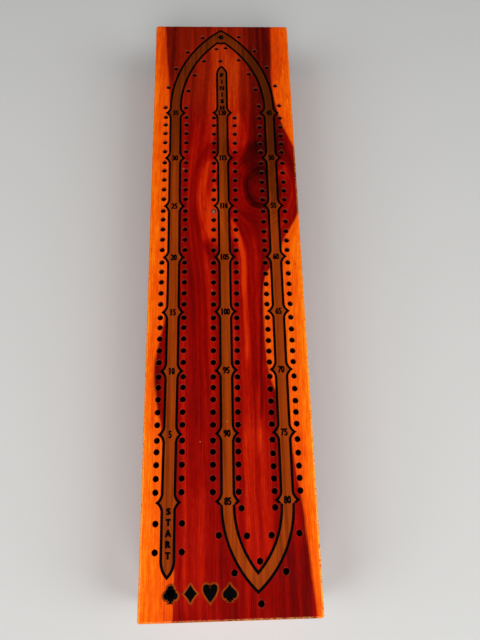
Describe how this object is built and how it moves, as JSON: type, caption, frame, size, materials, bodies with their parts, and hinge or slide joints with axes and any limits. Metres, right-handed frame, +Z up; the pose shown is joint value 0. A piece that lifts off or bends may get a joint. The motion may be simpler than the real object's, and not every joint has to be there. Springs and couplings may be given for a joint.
{
  "type": "cribbage box with drawer",
  "caption": "Long varnished cedar cribbage board with a continuous numbered track, made as a shallow box with a knobbed drawer in its end for cards and pegs.",
  "frame": {"origin": "centre of the footprint, knob included, on the surface that the foot pads stand on", "axes": "+Z up; +Y along the board from the START end to the FINISH end, the way the drawer slides out; +X to the right when the numbers read upright"},
  "size_m": [0.097, 0.403, 0.0433],
  "materials": {
    "cedar_board": "red cedar, high-gloss varnish, brown and black printed track",
    "cedar_case": "red cedar, gloss varnish",
    "drawer_wood": "pale softwood, unfinished",
    "panel_wood": "thin plywood, unfinished",
    "dowel_wood": "end grain, varnished",
    "brass": "polished, a little worn",
    "steel": "plain",
    "pad_rubber": "matte",
    "peg_red": "gloss",
    "peg_ivory": "gloss"
  },
  "bodies": {
    "case": {"top_board": "cedar_board", "left_rail": "cedar_case", "right_rail": "cedar_case", "end_block": "cedar_case", "bottom_panel": "panel_wood", "bottom_screws": "steel", "end_block_dowels": "dowel_wood", "stop_screw": "steel", "foot_pad_start_left": "pad_rubber", "foot_pad_start_right": "pad_rubber", "foot_pad_finish_left": "pad_rubber", "foot_pad_finish_right": "pad_rubber"},
    "drawer": {"drawer_front": "cedar_case", "drawer_left_side": "drawer_wood", "drawer_right_side": "drawer_wood", "drawer_back": "drawer_wood", "drawer_bottom": "panel_wood", "front_divider": "drawer_wood", "rear_divider": "drawer_wood", "drawer_front_brads": "steel", "drawer_back_brads": "steel", "drawer_knob": "brass", "knob_screw": "brass", "peg_1": "peg_red", "peg_2": "peg_red", "peg_3": "peg_ivory", "peg_4": "peg_ivory"}
  },
  "joints": [
    {"name": "drawer_slide", "type": "slide", "parent": "case", "child": "drawer", "axis": [0, 1, 0], "range_m": [0, 0.301]}
  ]
}
